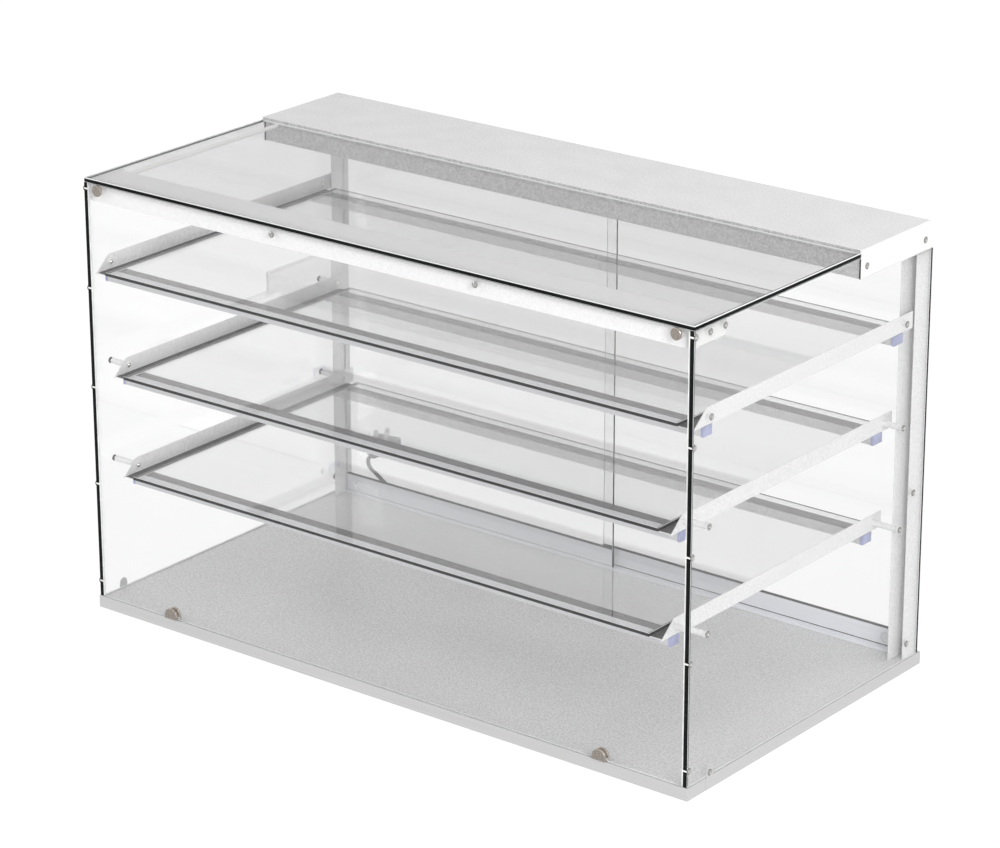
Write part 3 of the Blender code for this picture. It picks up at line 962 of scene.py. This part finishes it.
def flange_middle(number):
    """Height of the middle of a shelf's brackets."""
    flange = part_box(f"shelf_{number}_bracket_left")
    return (flange[0].z + flange[1].z) / 2


def build_glint_sleeves(side, heading, looks):
    """Light sleeves round the edge screws, just breaking out of the glass edge: painted highlights
    where the screws show bright through the dark edge.
    """
    shape = bmesh.new()
    inner, outer = GLINT_SLEEVE_SPAN
    rings = ((inner, GLINT_SLEEVE_BORE), (inner, GLINT_SLEEVE_R), (outer, GLINT_SLEEVE_R), (outer, GLINT_SLEEVE_BORE))
    for place in edge_screw_places(side):
        merge(shape, turn(rings, place, heading), 0)
    add_piece(f"screw_glint_sleeves_{side}", shape, [looks["light_plastic_and_highlight"]], "root")


def build_nuts(side, sign, looks):
    """Hex nuts on the insides of the brackets, where the standoff screws end."""
    shape = bmesh.new()
    for number in (1, 2, 3):
        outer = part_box(f"shelf_{number}_front_rail")[1].x
        for y in STANDOFF_Y:
            place = (sign * (outer - SHEET_T), y, flange_middle(number))
            merge(shape, turn(NUT_OUTLINE, place, (-sign, 0, 0), 6), 0)
            merge(shape, turn(SHANK_END_OUTLINE, place, (-sign, 0, 0), 16), 0)
    add_piece(f"bracket_nuts_{side}", shape, [looks["screw"]], "root", 25)


def build_screws(looks):
    """All the screws of both ends and of the front, with the painted-highlight sleeves and the nuts of
    the ends.
    """
    for side, sign in (("left", -1), ("right", 1)):
        heading = (sign, 0, 0)
        screws(f"edge_screws_{side}", edge_screw_places(side), heading, LONG_SHANK, looks)
        screws(f"side_screws_{side}", side_screw_places(side), heading, LONG_SHANK, looks)
        build_glint_sleeves(side, heading, looks)
        build_nuts(side, sign, looks)
        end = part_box(f"header_end_{side}")
        outside = end[1].x if sign > 0 else end[0].x
        places = [(outside, *spot) for spot in HEADER_SCREWS]
        screws(f"header_screws_{side}", places, heading, SHORT_SHANK, looks)
        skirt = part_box(f"side_skirt_{side}")
        outside = skirt[1].x if sign > 0 else skirt[0].x
        screws(f"ear_screw_{side}", [(outside, *EAR_SCREW)], heading, SHORT_SHANK, looks)
    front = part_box("front_glass")[0].y
    places = [(x, front, FRONT_SCREW_Z) for x in FRONT_SCREW_X]
    screws("front_screws", places, FRONT, LONG_SHANK, looks)


# --- Assembly -------------------------------------------------------------------


def dress_base(looks):
    """Core board, floor pan and the skirts round them."""
    paint("base_core_board", looks["board"])
    refine("floor_pan", SHEET_R, looks["pan"])
    for node in ("front_skirt", "rear_skirt", "side_skirt_left", "side_skirt_right"):
        refine(node, FOLD_R, looks["brushed"])


def build_joint_beads(looks):
    """Light silicone beads up both front corners, on the front glass beside the side glass."""
    low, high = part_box("front_glass")
    shape = bmesh.new()
    for inner in (low.x, high.x - BEAD_W):
        first = (inner, low.y - BEAD_OUT, low.z + 0.0005)
        last = (inner + BEAD_W, low.y + BEAD_SUNK, high.z - 0.0005)
        merge(shape, block(first, last, 0.00005), 0)
    add_piece("corner_joint_beads", shape, [looks["light_plastic_and_highlight"]], "root")


def dress_glass(looks):
    """The four panes of the case, the beads between them and their metal fittings."""
    # Edges named as bright are painted highlights in the arris's light colour.
    pane("side_glass_left", 0, looks, "case_glass", bright=(DOWN,))
    pane("side_glass_right", 0, looks, "case_glass", bright=(DOWN,))
    pane("front_glass", 1, looks, "case_glass", bright=(DOWN, LEFT))
    pane("top_glass", 2, looks, "top_glass", bright=(LEFT, BACK), arris=TOP_ARRIS)
    build_joint_beads(looks)
    for node in ("front_clip_left", "front_clip_right"):
        refine(node, CLIP_R, looks["nickel"])
    for node in ("corner_cap_left", "corner_cap_right"):
        refine(node, SHEET_R, looks["nickel"])


def dress_light(looks):
    """Beam behind the front pane, its strip and cover, and the conduit back to the header."""
    refine("light_beam", SHEET_R, looks["beam"])
    for node in ("light_beam_end_left", "light_beam_end_right", "wiring_conduit"):
        refine(node, SHEET_R, looks["white"])
    refine("light_diffuser", FOLD_R, looks["diffuser"])
    paint("led_strip", looks["led"])


def dress_header(looks):
    """Canopy with its front flange in a darker grey of painted shade, end plates, underpan and the
    driver inside.
    """
    # Front-facing faces of the canopy take the darker grey: painted shade on the flange behind the
    # glass.
    refine("header_canopy", FOLD_R, looks["sheet"], other=looks["grey_and_painted_shade"], facing=FRONT)
    for node in ("header_end_left", "header_end_right", "header_underpan"):
        refine(node, SHEET_R, looks["white"])
    refine("led_driver", DRIVER_R, looks["dark"])


def dress_finger_pull(side, looks):
    """Round dished pull: anodised inside the dish, bright steel on the rim."""
    node = f"door_{side}_finger_pull"
    low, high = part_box(node)
    centre = (low + high) / 2
    shape = cad_shape(node)
    bevel_sharp(shape, 0.0002, 1)
    for face in shape.faces:
        spot = face.calc_center_median() - centre
        face.material_index = 1 if math.hypot(spot.x, spot.z) > DISH_R else 0
    materials = [looks["anodised"], looks["screw"]]
    pull = add_piece(f"{node}_shown", shape, materials, f"door_{side}")
    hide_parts(node)


def build_gasket(side, looks):
    """Dark lips of the glazing gasket on top of a door's rail, either side of the glass."""
    low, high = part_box(f"door_{side}_rail")
    middle = (low.y + high.y) / 2
    inner, outer = GASKET_LIP
    shape = bmesh.new()
    for near, far in ((-outer, -inner), (inner, outer)):
        first = (low.x + 0.0003, middle + near, high.z - 0.0001)
        last = (high.x - 0.0003, middle + far, high.z + GASKET_H)
        merge(shape, block(first, last, 0.0002), 0)
    add_piece(f"door_{side}_gasket", shape, [looks["washer"]], f"door_{side}")


def build_rail_lines(side, looks):
    """Lines on a door's rail: a dark painted shadow line low down, a light painted highlight line over
    it, and painted shade on its right end.
    """
    low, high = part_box(f"door_{side}_rail")
    shape = bmesh.new()
    for index, (bottom, top) in enumerate((SHADOW_LINE_Z, HIGHLIGHT_LINE_Z)):
        first = (low.x + 0.0006, low.y - 0.0001, bottom)
        last = (high.x - 0.0006, high.y + 0.0001, top)
        merge(shape, block(first, last, STRIP_R), index)
    first = (high.x - 0.0004, low.y + 0.0003, low.z + 0.0010)
    last = (high.x + 0.0002, high.y - 0.0003, high.z - 0.0006)
    merge(shape, block(first, last, STRIP_R), 2)
    # The painted shadow line is a lighter grey on the left door and near-black on the right.
    shadow_look = looks["grey_and_painted_shade"] if side == "left" else looks["shade_dark"]
    materials = [shadow_look, looks["light_plastic_and_highlight"], looks["shade_dark"]]
    add_piece(f"door_{side}_painted_lines", shape, materials, f"door_{side}")


def dress_staff_side(looks):
    """Rear posts, door tracks and both sliding doors."""
    for node in ("rear_post_left", "rear_post_right"):
        refine(node, SHEET_R, looks["sheet"])
    for node in ("door_track_bottom", "door_track_top"):
        refine(node, THIN_R, looks["anodised"])
    for side in ("left", "right"):
        body = f"door_{side}"
        pane(f"door_{side}_glass", 1, looks, "door_glass", body, bright=(LEFT,))
        refine(f"door_{side}_rail", RAIL_R, looks["anodised"], body)
        dress_finger_pull(side, looks)
        build_gasket(side, looks)
        build_rail_lines(side, looks)


def build_ledge_shade_strips(number, looks):
    """Thin dark strips on the two ledges, under the ends of the glass: painted shade where the ledges
    lie in shadow.
    """
    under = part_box(f"shelf_{number}_glass")[0].z
    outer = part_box(f"shelf_{number}_front_rail")[1].x
    shape = bmesh.new()
    for inner, edge in ((outer - LEDGE_W, outer - SHEET_T), (SHEET_T - outer, LEDGE_W - outer)):
        first = (inner + STRIP_INSET, LEDGE_Y[0] + STRIP_INSET, under - STRIP_LIFT)
        last = (edge - STRIP_INSET, LEDGE_Y[1] - STRIP_INSET, under - 0.00002)
        merge(shape, block(first, last, STRIP_R), 0)
    add_piece(f"shelf_{number}_strips", shape, [looks["shade_dark"]], "root")


def build_end_caps(number, looks):
    """Plastic caps over the four ends of a shelf's rails."""
    shape = bmesh.new()
    for end in ("front", "rear"):
        low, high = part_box(f"shelf_{number}_{end}_rail")
        right_cap = (high.x - END_CAP_W, high.x + END_CAP_OVER)
        left_cap = (low.x - END_CAP_OVER, low.x + END_CAP_W)
        for start, stop in (right_cap, left_cap):
            first = (start, low.y - 0.0005, low.z - 0.0004)
            last = (stop, high.y + 0.0005, high.z - 0.0002)
            merge(shape, block(first, last, RAIL_R), 0)
    add_piece(f"shelf_{number}_end_caps", shape, [looks["cap"]], "root")


def dress_shelves(looks):
    """Glass, brackets and cross rails of each shelf, with their painted-shade strips and end caps."""
    for number in (1, 2, 3):
        pane(f"shelf_{number}_glass", 2, looks, "shelf_glass")
        for side in ("left", "right"):
            refine(f"shelf_{number}_bracket_{side}", THIN_R, looks["sheet"])
        for end in ("front", "rear"):
            face = looks["rail"] if end == "front" else looks["grey_and_painted_shade"]
            # Rail faces that look up take the near-black: painted shade under the shelf glass.
            refine(f"shelf_{number}_{end}_rail", RAIL_R, face, other=looks["shade_dark"])
        build_ledge_shade_strips(number, looks)
        build_end_caps(number, looks)


make_camera()
looks = make_looks()
build_lead(looks)
make_stage()
dress_base(looks)
dress_glass(looks)
dress_light(looks)
dress_header(looks)
dress_staff_side(looks)
dress_shelves(looks)
build_screws(looks)
